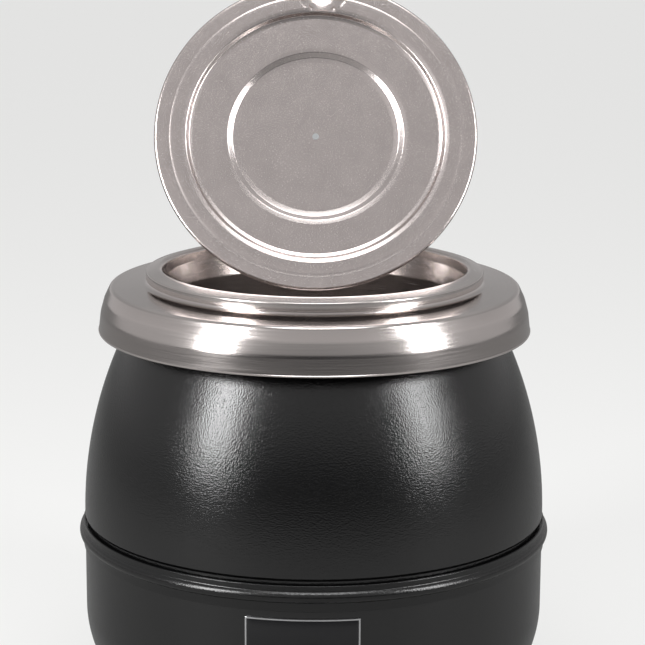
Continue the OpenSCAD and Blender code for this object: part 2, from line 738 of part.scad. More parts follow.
module hinge_slide() {
  tail = guide_y1 - pin_y - 6;
  color("#c6c8ca") translate([0, pin_y, pin_z]) difference() {
    union() {
      translate([-slide_w / 2, 0, 0]) rotate([0, 90, 0]) cylinder(h = slide_w, r = eye_r, $fn = 64);
      translate([-slide_w / 2, 0, -slide_t / 2]) cube([slide_w, tail, slide_t]);
    }
    translate([-slide_w / 2 - 1, 0, 0]) rotate([0, 90, 0]) cylinder(h = slide_w + 2, r = pin_r, $fn = 64);
    // slot for the stop rivet
    for (y = [stop_y - pin_y - slide_travel, stop_y - pin_y]) translate([0, y, -slide_t])
      cylinder(h = 2 * slide_t, r = stop_r + 0.3, $fn = 48);
    translate([-stop_r - 0.3, stop_y - pin_y - slide_travel, -slide_t]) cube([2 * stop_r + 0.6, slide_travel, 2 * slide_t]);
  }
}

module hinge_pin() {
  x1 = ear_x + plate_t + 0.4;
  color("#b0b2b4") translate([0, pin_y, pin_z]) rotate([0, 90, 0]) {
    translate([0, 0, -x1]) cylinder(h = 2 * x1, r = pin_r, $fn = 64);
    for (s = [0, 1]) mirror([0, 0, s]) translate([0, 0, x1 - 0.01]) cylinder(h = 1.4, r = pin_r + 1.2, $fn = 48);
  }
}

// ---------------------------------------------------------------- lid

// Hollow under the arch for the ladle's handle, or its outside with r = notch_r
module notch_blob(r) {
  c = -lid_r + 5;
  translate([0, c, notch_rise - notch_r]) sphere(r = r, $fn = 96);
  translate([0, c, notch_rise - notch_r]) rotate([90, 0, 0]) cylinder(h = 8, r = r, $fn = 96);
}

module lid_shell() {
  a = step_a_d / 2;
  b = step_b_d / 2;
  y1 = 0;
  y2 = 1 + step_rise;
  y3 = y2 + step_rise;
  color("#d2ccc8") lid_frame() difference() {
    union() {
      rotate_extrude() {
        sheet_2d([[0, y3], [b - 6, y3], [b - 3.5, y3 - 0.5], [b + 0.5, y2 + 0.5], [b + 3, y2], [a - 3, y2],
          [a - 0.8, y2 - 0.6], [a + 1.6, y1 + 0.9], [a + 4, y1 + 0.3], [a + 10, y1], [lid_r - roll_r, y1]], lid_t);
        translate([lid_r - roll_r, roll_r]) circle(r = roll_r, $fn = 32);
      }
      // arch over the ladle notch
      intersection() {
        rotate([0, 0, notch_turn]) notch_blob(notch_r);
        translate([0, 0, y1]) cylinder(h = 30, r = lid_r, $fn = 96);
      }
      // dimples left by the spot welds of the hinge leaf
      for (s = [-1, 1]) translate([s * 8, pin_u + 4.5, y2 - 0.4]) cylinder(h = 0.6, r = 1.8, $fn = 24);
    }
    rotate([0, 0, notch_turn]) notch_blob(notch_r - lid_t);
    translate([0, 0, -1]) cylinder(h = 20, r = 2.6, $fn = 32);
  }
}

module hinge_leaf() {
  base = 1 + step_rise + lid_t;
  stop_y0 = 8;
  stop_z0 = slide_t / 2 + 1.5;
  su = stop_y0 * cos(lid_open_angle) - stop_z0 * sin(lid_open_angle);
  sv = stop_y0 * sin(lid_open_angle) + stop_z0 * cos(lid_open_angle);
  color("#bcbec0") lid_frame() translate([0, pin_u, pin_v]) {
    difference() {
      union() {
        for (s = [0, 1]) mirror([s, 0, 0]) translate([ear_x, 0, 0]) rotate([90, 0, 90])
          linear_extrude(height = plate_t) {
            circle(r = eye_r, $fn = 64);
            polygon([[-eye_r - 1.4, base - pin_v], [eye_r + 6, base - pin_v], [eye_r * 0.9, 1], [-eye_r * 0.9, 1]]);
            polygon([[-eye_r + 0.2, -1.4], [su - 2, sv - 0.8], [su + 0.8, sv + 2], [1.4, eye_r - 0.3]]);
            translate([su, sv]) circle(r = 2.2, $fn = 32);
          }
        translate([-ear_x - plate_t, -eye_r - 1.4, base - pin_v]) cube([2 * (ear_x + plate_t), 2 * eye_r + 9.4, 1]);
      }
      translate([-30, 0, 0]) rotate([0, 90, 0]) cylinder(h = 60, r = pin_r + pin_gap, $fn = 64);
    }
    translate([-ear_x - 0.5, su, sv]) rotate([0, 90, 0]) cylinder(h = 2 * ear_x + 1, r = 1.2, $fn = 32);
  }
}

module lid_knob() {
  k = knob_cap_d / 2;
  z0 = 1 + 2 * step_rise + lid_t + 1.2;
  h = knob_cap_h;
  color("#161618") lid_frame() translate([0, 0, z0]) difference() {
    rotate_extrude() {
      polygon([[0, 0], [11, 0], [11, 2], [8.5, 5], [7.5, 9], [8.5, h - 16], [k - 3, h - 13], [k - 0.6, h - 11],
        [k, h - 9], [k - 0.4, h - 6.5], [k - 3, h - 3.4], [k - 8, h - 1], [k - 14, h], [0, h]]);
    }
    translate([0, 0, -1]) cylinder(h = 15, r = 2.5, $fn = 32);
  }
}

module knob_washer() {
  color("#c6c8ca") lid_frame() translate([0, 0, 1 + 2 * step_rise + lid_t]) difference() {
    cylinder(h = 1.2, r = 14, $fn = 64);
    translate([0, 0, -1]) cylinder(h = 4, r = 2.6, $fn = 32);
  }
}

module knob_screw() {
  color("#a5a7a9") lid_frame() {
    translate([0, 0, 2 * step_rise + 0.7]) cylinder(h = 15.4, r = 2.45, $fn = 32);
    translate([0, 0, 1 + 2 * step_rise + lid_t - 0.1]) cylinder(h = 1.1, r = 2.58, $fn = 32);
  }
}

// ---------------------------------------------------------------- nodes

lower_casing();
upper_casing();
joint_band();
base_plate();
rubber_feet();
foot_screws();
foot_nuts();
casing_screws();
collar_ring();
pan_gasket();
water_pan();
heat_plate();
heating_element();
element_clamp();
tie_stud();
tie_nuts();
thermal_cutout();
thermostat_body();
thermostat_bracket();
thermostat_capillary();
terminal_block();
earth_stud();
internal_wiring();
dial_plate();
lamp_bezel();
lamp_lens();
badge_frame();
badge_face();
cord_gland();
gland_nut();
control_knob();
thermostat_shaft();
inset_pot();
hinge_bracket();
bracket_rivets();
stop_rivet();
hinge_slide();
hinge_pin();
lid_shell();
hinge_leaf();
lid_knob();
knob_washer();
knob_screw();
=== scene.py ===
# %% [markdown]
# # A soup kettle, dressed for its portrait
# The kettle is a black hammered casing with a bright steel collar, a pot that
# lifts out of a water jacket, and a round lid that tips back on a sliding
# hinge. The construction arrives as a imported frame. This script gives every
# piece its finish, and remodels the turned and pressed pieces with finer
# curves and softer edges than the frame's own triangles.
#
# Blender works in metres and a kettle is thought of in millimetres. So every
# length of a piece is written in millimetres, and is multiplied by mm where it
# reaches Blender.

# %% Load the frame
import bpy
import json
from math import radians, degrees, sin, cos, tan, asin, pi, sqrt
from mathutils import Vector, Matrix

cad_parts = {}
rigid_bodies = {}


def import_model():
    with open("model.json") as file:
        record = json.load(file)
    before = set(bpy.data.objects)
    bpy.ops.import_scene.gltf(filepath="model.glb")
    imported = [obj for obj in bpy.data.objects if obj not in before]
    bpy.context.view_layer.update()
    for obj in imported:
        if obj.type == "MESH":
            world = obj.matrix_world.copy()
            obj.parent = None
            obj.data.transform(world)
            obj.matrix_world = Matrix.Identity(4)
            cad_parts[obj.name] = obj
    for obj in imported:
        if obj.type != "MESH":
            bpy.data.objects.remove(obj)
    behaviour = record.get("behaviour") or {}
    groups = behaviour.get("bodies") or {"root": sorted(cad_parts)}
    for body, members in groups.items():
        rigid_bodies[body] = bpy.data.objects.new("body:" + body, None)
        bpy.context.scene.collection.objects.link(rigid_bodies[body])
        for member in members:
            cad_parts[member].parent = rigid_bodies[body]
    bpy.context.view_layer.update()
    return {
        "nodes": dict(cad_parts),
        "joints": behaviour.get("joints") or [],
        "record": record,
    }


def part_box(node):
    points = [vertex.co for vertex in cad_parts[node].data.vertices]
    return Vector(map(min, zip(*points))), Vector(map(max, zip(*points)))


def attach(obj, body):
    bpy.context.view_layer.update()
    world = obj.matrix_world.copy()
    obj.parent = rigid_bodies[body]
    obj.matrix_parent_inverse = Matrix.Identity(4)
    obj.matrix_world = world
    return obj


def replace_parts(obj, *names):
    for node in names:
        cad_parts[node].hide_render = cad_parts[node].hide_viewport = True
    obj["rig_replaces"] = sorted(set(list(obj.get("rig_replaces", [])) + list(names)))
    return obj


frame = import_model()
nodes = frame["nodes"]
mm = 0.001

# %% [markdown]
# ## Places taken from the frame
# A piece that replaces a node has to be exactly where the node is. Its heights
# and radii could be typed in again, but then they could drift from the frame.
# So they are read from the node's box, and only what a box can't tell, such as
# the radius of a bend in a sheet, is written here.

# %% Measure the frame
def low_of(node):
    """The lowest corner of a node's box, in mm."""
    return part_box(node)[0] / mm


def high_of(node):
    """The highest corner of a node's box, in mm."""
    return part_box(node)[1] / mm


rim_z = high_of("inset_pot").z
lip_r = high_of("inset_pot").x
casing_r = high_of("lower_casing").x
bead_r = high_of("joint_band").x
collar_r = high_of("collar_ring").x
lid_r = high_of("lid_shell").x
print("rim %.1f mm above the table" % rim_z)
for label, radius in (("lip", lip_r), ("lid", lid_r), ("collar", collar_r),
                      ("casing", casing_r), ("bead", bead_r)):
    print("%-6s %.1f mm across" % (label, 2 * radius))

# %% [markdown]
# ## Camera
# A long lens looks slightly down on the kettle from the front. It stands a
# little to the right, and it is rolled by a quarter of a degree. A Track To
# constraint could aim it, but it would keep the camera level, so the pitch and
# the roll are plain angles.

# %% Camera
lens_mm = 125.8
look_down = 12.42
roll = 0.27

camera_data = bpy.data.cameras.new("camera")
camera_data.lens = lens_mm
camera_data.sensor_width = 36.0
camera = bpy.data.objects.new("camera", camera_data)
camera.location = (0.0057, -1.5785, 0.6189)
camera.rotation_euler = (Matrix.Rotation(radians(90 - look_down), 3, "X")
                         @ Matrix.Rotation(radians(roll), 3, "Z")).to_euler()
bpy.context.scene.collection.objects.link(camera)
bpy.context.scene.camera = camera
print("camera at", [round(v, 3) for v in camera.location], "with a lens of", lens_mm, "mm")

# %% [markdown]
# ## Lamps
# Round and shiny things are lit with soft boxes, because their highlight is a
# mirror image of the lamp. Two tall boxes left and right of the camera draw
# the two upright stripes on the casing and the collar. A third one hangs
# above. Point lamps would leave only small hard dots.

# %% Lamps
# All lamps point at the middle of the kettle.
aim = Vector((0, 0, 0.25))


def soft_box(name, azimuth, elevation, distance, width, height, power):
    """An area lamp that faces the kettle; azimuth 0 is the camera's side."""
    data = bpy.data.lights.new(name, "AREA")
    data.shape = "RECTANGLE"
    data.size = width
    data.size_y = height
    data.energy = power
    lamp = bpy.data.objects.new(name, data)
    a, e = radians(azimuth), radians(elevation)
    spot = Vector((sin(a) * cos(e), -cos(a) * cos(e), sin(e))) * distance + aim
    lamp.location = spot
    lamp.rotation_euler = (aim - spot).to_track_quat("-Z", "Y").to_euler()
    bpy.context.scene.collection.objects.link(lamp)
    print("%-9s %.2f x %.2f m, %d W" % (name, width, height, power))


soft_box("left_box", -51, 26, 1.7, 0.44, 1.20, 27)
soft_box("right_box", 60, 26, 1.7, 0.46, 1.20, 19)
soft_box("top_box", 10, 80, 1.8, 0.90, 0.70, 10)

# %% [markdown]
# ## The room
# A room does three jobs, and the Light Path node can tell them apart. Camera
# and transmission rays see a plain pale backdrop. Glossy rays see a room that
# is darker on the camera's side than behind the kettle, because steel shows
# its form only where it mirrors light and dark. All other rays get an even,
# soft light. One colour for all three would leave the steel flat and grey.

# %% Two helpers for shader nodes
def add(tree, kind, **values):
    """Adds a shader node and sets its settings by name."""
    node = tree.nodes.new(kind)
    for key, value in values.items():
        setattr(node, key, value)
    return node


def math_node(tree, operation, *values):
    """A Math node. Each value is a plain number or another node's output."""
    node = add(tree, "ShaderNodeMath", operation=operation)
    for socket, value in zip(node.inputs, values):
        if isinstance(value, (int, float)):
            socket.default_value = value
        else:
            tree.links.new(value, socket)
    return node.outputs[0]


print("helpers: add, math_node")

# %% World
scene = bpy.context.scene
scene.view_settings.view_transform = "Standard"
world = bpy.data.worlds.new("studio")
scene.world = world
world.use_nodes = True
room = world.node_tree
room.nodes.clear()
print("world:", world.name, "seen with", scene.view_settings.view_transform)

# %% The room that steel mirrors
# Each stop is a place between the low front (0) and the high back (1), and
# the tone of the room there.
stops = [(0.45, (0.035, 0.035, 0.037)), (0.95, (0.60, 0.60, 0.60)), (0.51, (0.42, 0.42, 0.42)),
         (0.63, (0.52, 0.51, 0.51)), (0.72, (0.34, 0.34, 0.34))]
tones = add(room, "ShaderNodeValToRGB")
for i, (position, tone) in enumerate(stops):
    if i < 2:
        stop = tones.color_ramp.elements[i]
        stop.position = position
    else:
        stop = tones.color_ramp.elements.new(position)
    stop.color = (*tone, 1)

view = add(room, "ShaderNodeTexCoord")
split = add(room, "ShaderNodeSeparateXYZ")
room.links.new(view.outputs["Generated"], split.inputs[0])
height_and_depth = math_node(room, "MULTIPLY_ADD", split.outputs["Z"], 3.0, split.outputs["Y"])
spread = add(room, "ShaderNodeMapRange")
spread.inputs["From Min"].default_value = -4
spread.inputs["From Max"].default_value = 4
room.links.new(height_and_depth, spread.inputs["Value"])
room.links.new(spread.outputs["Result"], tones.inputs["Fac"])
print("mirrored room:", len(tones.color_ramp.elements), "tones")


# %% Which ray sees what
def backdrop(colour, strength=1.0):
    """A background of one plain colour."""
    node = add(room, "ShaderNodeBackground")
    node.inputs["Color"].default_value = (*colour, 1)
    node.inputs["Strength"].default_value = strength
    return node


def choose(mask, otherwise, chosen):
    """Shows one shader where the mask is 1, and the other where it is 0."""
    node = add(room, "ShaderNodeMixShader")
    room.links.new(mask, node.inputs["Fac"])
    room.links.new(otherwise.outputs[0], node.inputs[1])
    room.links.new(chosen.outputs[0], node.inputs[2])
    return node


ray = add(room, "ShaderNodeLightPath")
seen_directly = math_node(room, "MAXIMUM", ray.outputs["Is Camera Ray"],
                          ray.outputs["Is Transmission Ray"])
even_light = backdrop((1, 1, 1), 0.42)
pale_wall = backdrop((0.93, 0.93, 0.93))
mirrored = backdrop((1, 1, 1))
room.links.new(tones.outputs["Color"], mirrored.inputs["Color"])
lit_or_mirrored = choose(ray.outputs["Is Glossy Ray"], even_light, mirrored)
all_rays = choose(seen_directly, lit_or_mirrored, pale_wall)
output = add(room, "ShaderNodeOutputWorld")
room.links.new(all_rays.outputs[0], output.inputs["Surface"])
print("backdrop: even light, mirrored room and pale wall")

# %% [markdown]
# ## The floor
# The kettle stands on a large pale sheet of paper. The paper could be lit until
# it is pale, but so much light would burn the steel out. So it is a middle grey
# that keeps the kettle's shadow, and it is lifted for the rays that look
# straight at it. Glossy rays get only a small share of the lift, because the
# black casing mirrors the floor and would turn grey.

# %% Floor
floor_lift = 0.64
glossy_share = 0.12

bpy.ops.mesh.primitive_plane_add(size=80.0, location=(0, 0, 0))
floor = bpy.context.object
floor.name = "floor"
floor_mat = bpy.data.materials.new("floor_pale")
floor_mat.use_nodes = True
sheet = floor_mat.node_tree
paper = sheet.nodes["Principled BSDF"]
paper.inputs["Base Color"].default_value = (0.24, 0.24, 0.238, 1)
paper.inputs["Roughness"].default_value = 0.7
paper.inputs["Specular IOR Level"].default_value = 0.2
floor.data.materials.append(floor_mat)
print("floor:", floor.dimensions.x, "m wide")

# %% Lift of the floor
floor_ray = add(sheet, "ShaderNodeLightPath")
share = math_node(sheet, "MULTIPLY", floor_ray.outputs["Is Glossy Ray"], glossy_share)
direct = math_node(sheet, "MAXIMUM", floor_ray.outputs["Is Camera Ray"],
                   floor_ray.outputs["Is Transmission Ray"])
glow = add(sheet, "ShaderNodeEmission")
glow.inputs["Color"].default_value = (1, 1, 0.99, 1)
lift = math_node(sheet, "MULTIPLY", math_node(sheet, "MAXIMUM", direct, share), floor_lift)
sheet.links.new(lift, glow.inputs["Strength"])
together = add(sheet, "ShaderNodeAddShader")
sheet.links.new(paper.outputs[0], together.inputs[0])
sheet.links.new(glow.outputs[0], together.inputs[1])
sheet.links.new(together.outputs[0], sheet.nodes["Material Output"].inputs["Surface"])
print("lift: %.2f, of which glossy rays get %d %%" % (floor_lift, 100 * glossy_share))

# %% [markdown]
# ## Shared effects
# Several finishes need the same things: rings left by a polishing mop, the
# peel of a powder coat, fine grain, and faint blotches from handling. Each
# could be built again in every material. Here each one is a node group with
# named inputs, placed in a material with that material's own values, so a
# change in the group reaches all of them.

# %% A helper for node groups
FLOAT = "NodeSocketFloat"
VECTOR = "NodeSocketVector"


def new_group(name, inputs, outputs):
    """An empty node group; inputs are (label, kind, value), outputs are labels."""
    group = bpy.data.node_groups.new(name, "ShaderNodeTree")
    for label, kind, value in inputs:
        socket = group.interface.new_socket(label, in_out="INPUT", socket_type=kind)
        if value is not None:
            socket.default_value = value
    for label in outputs:
        group.interface.new_socket(label, in_out="OUTPUT", socket_type=FLOAT)
    start = group.nodes.new("NodeGroupInput")
    end = group.nodes.new("NodeGroupOutput")
    return group, start, end


def noise(tree, detail, vector, scale):
    """A Noise texture; its scale is a plain number or another node's output."""
    node = add(tree, "ShaderNodeTexNoise")
    node.inputs["Detail"].default_value = detail
    tree.links.new(vector, node.inputs["Vector"])
    if isinstance(scale, (int, float)):
        node.inputs["Scale"].default_value = scale
    else:
        tree.links.new(scale, node.inputs["Scale"])
    return node.outputs["Fac"]


print("helpers: new_group, noise")

# %% [markdown]
# ### Ring grain
# Spun steel is polished while it turns, so its finest scratches run round the
# axis. A noise is read in radius, height and angle instead of in X, Y and Z.
# It changes quickly across the rings and slowly along them, and that is what
# draws them. A Wave texture would draw rings that are too even.

# %% Group: ring grain
ring_group, start, end = new_group(
    "ring_grain",
    [("Vector", VECTOR, None), ("Fineness", FLOAT, 2200.0), ("Streak", FLOAT, 3.0)],
    ["Grain", "Blotch"])
axes = add(ring_group, "ShaderNodeSeparateXYZ")
ring_group.links.new(start.outputs["Vector"], axes.inputs[0])
x, y, z = axes.outputs
fineness, streak = start.outputs["Fineness"], start.outputs["Streak"]
radius = math_node(ring_group, "SQRT", math_node(
    ring_group, "ADD", math_node(ring_group, "MULTIPLY", x, x),
    math_node(ring_group, "MULTIPLY", y, y)))
round_axis = add(ring_group, "ShaderNodeCombineXYZ")
for i, (along, rate) in enumerate(((radius, fineness), (z, fineness),
                                   (math_node(ring_group, "ARCTAN2", y, x), streak))):
    ring_group.links.new(math_node(ring_group, "MULTIPLY", along, rate), round_axis.inputs[i])
ring_group.links.new(noise(ring_group, 3.0, round_axis.outputs[0], 1.0), end.inputs["Grain"])
ring_group.links.new(noise(ring_group, 4.0, start.outputs["Vector"], 26.0), end.inputs["Blotch"])
print("group:", ring_group.name)

# %% [markdown]
# ### Hammered peel
# The black enamel isn't flat. Under a strong light it shows thousands of small
# rounded pits, about a millimetre apart. Cells of a smooth Voronoi texture
# make the pits, and a finer noise breaks their edges up. Modelling the pits
# would take millions of faces for something that only the light shows.

# %% Group: hammered peel
ripple_rate = 1.7
ripple_share = 0.7

peel_group, start, end = new_group(
    "hammer_peel", [("Vector", VECTOR, None), ("Scale", FLOAT, 620.0)], ["Height", "Pits"])
pits = add(peel_group, "ShaderNodeTexVoronoi", feature="SMOOTH_F1")
pits.inputs["Smoothness"].default_value = 0.45
peel_group.links.new(start.outputs["Vector"], pits.inputs["Vector"])
peel_group.links.new(start.outputs["Scale"], pits.inputs["Scale"])
ripple = noise(peel_group, 2.0, start.outputs["Vector"],
               math_node(peel_group, "MULTIPLY", start.outputs["Scale"], ripple_rate))
height = math_node(peel_group, "ADD", pits.outputs["Distance"],
                   math_node(peel_group, "MULTIPLY", ripple, ripple_share))
peel_group.links.new(height, end.inputs["Height"])
# In the enamel finishes the Pits output also darkens the colour at the bottom of each pit:
# painted shade.
peel_group.links.new(pits.outputs["Distance"], end.inputs["Pits"])
print("group:", peel_group.name)

# %% [markdown]
# ### Fine grain
# Small parts are moulded, plated or brushed, and nothing about them is quite
# even: the surface has a very fine grain, and hands leave larger, softer
# marks. One fast noise and one slow noise are enough for both.

# %% Group: fine grain
fine_group, start, end = new_group(
    "fine_grain",
    [("Vector", VECTOR, None), ("Scale", FLOAT, 900.0), ("Patch", FLOAT, 60.0)],
    ["Grain", "Blotch"])
for detail, rate, result in ((3.0, "Scale", "Grain"), (4.0, "Patch", "Blotch")):
    fine_group.links.new(
        noise(fine_group, detail, start.outputs["Vector"], start.outputs[rate]),
        end.inputs[result])
print("group:", fine_group.name)

# %% [markdown]
# ## Finishes
# Each finish is one Principled BSDF. Its plain numbers stand on its own
# sockets, and a group makes colour, roughness and height vary over the
# surface, because a surface that is even all over looks like plastic. One
# function builds them all, so a finish is a single line of values.

# %% Colour and roughness that vary
def blend_colour(tree, bsdf, mask, dark, colour):
    """Mixes two colours; sockets 6 and 7 of a Mix node are its colours A and B."""
    mix = add(tree, "ShaderNodeMix", data_type="RGBA")
    mix.inputs[6].default_value = (*dark, 1)
    mix.inputs[7].default_value = (*colour, 1)
    tree.links.new(mask, mix.inputs[0])
    tree.links.new(mix.outputs[2], bsdf.inputs["Base Color"])


def vary_roughness(tree, bsdf, mask, rough, rough_span):
    """Roughness goes rough_span up and down over the middle half of the mask."""
    span = add(tree, "ShaderNodeMapRange")
    span.inputs["From Min"].default_value = 0.25
    span.inputs["From Max"].default_value = 0.75
    span.inputs["To Min"].default_value = rough - rough_span
    span.inputs["To Max"].default_value = rough + rough_span
    tree.links.new(mask, span.inputs["Value"])
    tree.links.new(span.outputs["Result"], bsdf.inputs["Roughness"])


print("helpers: blend_colour, vary_roughness")


# %% Material builder
def finish_material(name, colour, dark, metallic, rough, rough_span, group, group_values,
                    grain_out, vary_out, bump_strength, bump_distance, **principled):
    """A finish between two colours, with roughness and height from a group."""
    mat = bpy.data.materials.new(name)
    mat.use_nodes = True
    tree = mat.node_tree
    bsdf = tree.nodes["Principled BSDF"]
    bsdf.inputs["Metallic"].default_value = metallic
    for key, value in principled.items():
        bsdf.inputs[key.replace("_", " ")].default_value = value
    where = add(tree, "ShaderNodeTexCoord")
    effect = add(tree, "ShaderNodeGroup", node_tree=group)
    tree.links.new(where.outputs["Object"], effect.inputs["Vector"])
    for key, value in group_values.items():
        effect.inputs[key].default_value = value
    blend_colour(tree, bsdf, effect.outputs[vary_out], dark, colour)
    vary_roughness(tree, bsdf, effect.outputs[grain_out], rough, rough_span)
    bump = add(tree, "ShaderNodeBump")
    bump.inputs["Strength"].default_value = bump_strength
    bump.inputs["Distance"].default_value = bump_distance
    tree.links.new(effect.outputs[grain_out], bump.inputs["Height"])
    tree.links.new(bump.outputs["Normal"], bsdf.inputs["Normal"])
    return mat


mats = {}
print("helper: finish_material")

# %% [markdown]
# ### Black enamel
# The casing is coated with a hammered black enamel: almost no colour of its
# own, and a clear glossy skin over small pits. A black that is mixed too light
# turns grey under the soft boxes, so the base is nearly zero, and what the eye
# sees is the skin's highlight. The rolled band is smoother, since the coat
# flows there.

# %% Enamel
# The second colour is painted shade: it is half as dark and lies at the bottom of each pit,
# where shade falls.
deep_black, pit_shade_black = (0.003, 0.003, 0.0032), (0.0015, 0.0015, 0.0016)
for name, rough, pits_per_m, strength, gloss in (("black_hammer", 0.17, 880.0, 0.9, 0.70),
                                                 ("black_band", 0.18, 980.0, 0.7, 0.60)):
    mats[name] = finish_material(
        name, deep_black, pit_shade_black, 0.0, rough, 0.03, peel_group, {"Scale": pits_per_m},
        "Height", "Pits", strength, 0.00012, Specular_IOR_Level=gloss)
    print("%-12s roughness %.2f, %d pits per metre" % (name, rough, pits_per_m))

# %% [markdown]
# ### Spun steel
# The collar and the pot are spun from stainless sheet and polished on the
# lathe. The steel is a little warm, and the rings are felt more than seen, so
# their bump is small. A blotch that is eight per cent darker stands for the
# haze that cloths and steam leave.

# %% Spun steel
for name, colour, rough, fineness, strength in (
        ("collar_steel", (0.66, 0.61, 0.59), 0.18, 1500.0, 0.05),
        ("pot_steel", (0.70, 0.65, 0.63), 0.22, 2000.0, 0.03)):
    hazy = tuple(c * 0.92 for c in colour)
    mats[name] = finish_material(
        name, colour, hazy, 1.0, rough, 0.06, ring_group, {"Fineness": fineness, "Streak": 3.0},
        "Grain", "Blotch", strength, 0.0002)
    print("%-12s roughness %.2f" % (name, rough))

# %% [markdown]
# ### Everything else
# The lid, plated and brushed metals, moulded plastics, rubber and enamelled
# wires share one recipe: fine grain, and patches that are a fifth darker. Only
# the values differ. On metals Metallic is 1, so the colour tints what they
# mirror. On plastics it is 0, and the colour lies under a clear skin. Hand
# made materials for each would repeat the same nodes sixteen times.

# %% Fine finishes
# colour, roughness, metallic, grain per metre, strength of the grain
FINE = {
    "lid_steel": ((0.74, 0.67, 0.65), 0.24, 1.0, 1400.0, 0.008),
    "pan_steel": ((0.60, 0.60, 0.60), 0.32, 1.0, 900.0, 0.1),
    "zinc_steel": ((0.50, 0.51, 0.52), 0.40, 1.0, 900.0, 0.1),
    "bright_steel": ((0.72, 0.72, 0.73), 0.14, 1.0, 900.0, 0.03),
    "aluminium": ((0.66, 0.67, 0.68), 0.32, 1.0, 900.0, 0.1),
    "incoloy": ((0.20, 0.17, 0.15), 0.45, 1.0, 900.0, 0.1),
    "copper": ((0.62, 0.30, 0.18), 0.30, 1.0, 900.0, 0.1),
    "brass": ((0.66, 0.50, 0.22), 0.28, 1.0, 900.0, 0.1),
    "badge_silver": ((0.74, 0.74, 0.75), 0.20, 1.0, 900.0, 0.1),
    "badge_black": ((0.008, 0.008, 0.009), 0.22, 0.0, 800.0, 0.03),
    "black_phenolic": ((0.014, 0.014, 0.015), 0.30, 0.0, 500.0, 0.08),
    "black_nylon": ((0.020, 0.020, 0.021), 0.42, 0.0, 700.0, 0.12),
    "rubber": ((0.022, 0.022, 0.022), 0.75, 0.0, 500.0, 0.2),
    "cream_plastic": ((0.70, 0.64, 0.50), 0.35, 0.0, 900.0, 0.1),
    "amber_lens": ((0.75, 0.26, 0.03), 0.12, 0.0, 300.0, 0.02),
    "wire_red": ((0.32, 0.06, 0.04), 0.5, 0.0, 900.0, 0.1),
}
for name, (colour, rough, metallic, grain, strength) in FINE.items():
    worn = tuple(c * 0.82 for c in colour)
    mats[name] = finish_material(
        name, colour, worn, metallic, rough, 0.05, fine_group, {"Scale": grain, "Patch": 70.0},
        "Grain", "Blotch", strength, 0.0002)
print("finishes:", len(mats))

# %% [markdown]
# ## How the turned pieces are made
# Most of this kettle was spun or pressed, so most of it is round about one
# axis. Such a piece can be lofted, lathed with a Screw modifier, or spun in
# edit mode. Spinning is chosen because the result is a plain mesh of clean
# quads straight away. Half the section is drawn by extruding one vertex from
# point to point. The spin carries it round, and doubled points are merged.

# %% Rounded corners
def rounded(points, steps=6):
    """Section through (radius, height) points; a third number rounds that corner."""
    out = []
    for i, point in enumerate(points):
        here = Vector(point[:2])
        size = point[2] if len(point) > 2 else 0
        if size <= 0 or i in (0, len(points) - 1):
            out.append((here.x, here.y))
            continue
        a = Vector(points[i - 1][:2]) - here
        b = Vector(points[i + 1][:2]) - here
        half = a.angle(b) / 2
        # A corner may use up to half of the shorter side next to it.
        back = min(size / tan(half), 0.49 * a.length, 0.49 * b.length)
        size = back * tan(half)
        middle = here + (a.normalized() + b.normalized()).normalized() * (size / sin(half))
        first = here + a.normalized() * back - middle
        sweep = first.angle_signed(here + b.normalized() * back - middle)
        for k in range(steps + 1):
            turn = -sweep * k / steps
            out.append((middle.x + first.x * cos(turn) - first.y * sin(turn),
                        middle.y + first.x * sin(turn) + first.y * cos(turn)))
    return out


def arc(centre_r, centre_z, radius, start, end, steps):
    """Points of an arc, with its angles in degrees, where 0 points outwards."""
    angles = [radians(start + (end - start) * k / steps) for k in range(steps + 1)]
    return [(centre_r + radius * cos(a), centre_z + radius * sin(a)) for a in angles]


print("a corner of 2 mm has", len(rounded([(0, 0), (9, 0, 2), (9, 9)])), "points")


# %% Selecting, and edit mode
def select_only(piece):
    """Operators act on all that is selected, so the rest is deselected."""
    bpy.ops.object.select_all(action="DESELECT")
    piece.select_set(True)
    bpy.context.view_layer.objects.active = piece


def edit_all():
    """Enters edit mode with the whole mesh selected."""
    bpy.ops.object.mode_set(mode="EDIT")
    bpy.ops.mesh.select_all(action="SELECT")


def leave_edit():
    bpy.ops.object.mode_set(mode="OBJECT")


print("helpers: select_only, edit_all, leave_edit")


# %% Turning faces outwards
def flip_faces():
    """Turns the normals of the active piece round."""
    edit_all()
    bpy.ops.mesh.flip_normals()
    leave_edit()


def solid_sum(piece):
    """Signed volume: it is above zero where the normals point outwards."""
    return sum(p.center.dot(p.normal) * p.area for p in piece.data.polygons) / 3


def tidy_mesh(piece):
    """Merges doubled points and turns all normals outwards."""
    select_only(piece)
    edit_all()
    bpy.ops.mesh.remove_doubles(threshold=2e-6)
    bpy.ops.mesh.normals_make_consistent(inside=False)
    leave_edit()
    if solid_sum(piece) < 0:
        flip_faces()


print("helpers: flip_faces, solid_sum, tidy_mesh")


# %% Spinning a section
def draw_section(name, points, closed):
    """One vertex, extruded from point to point in the XZ plane; stays in edit mode."""
    bpy.ops.mesh.primitive_plane_add(size=0.001, location=(0, 0, 0))
    piece = bpy.context.object
    piece.name = name
    piece.data.name = name
    bpy.ops.object.mode_set(mode="EDIT")
    bpy.ops.mesh.select_mode(type="VERT")
    bpy.ops.mesh.select_all(action="SELECT")
    bpy.ops.mesh.merge(type="CENTER")
    path = [Vector((r * mm, 0, z * mm)) for r, z in points]
    if closed:
        path.append(path[0])
    bpy.ops.transform.translate(value=path[0])
    for before, after in zip(path, path[1:]):
        if (after - before).length > 1e-7:
            bpy.ops.mesh.extrude_vertices_move(
                TRANSFORM_OT_translate={"value": tuple(after - before)})
    return piece


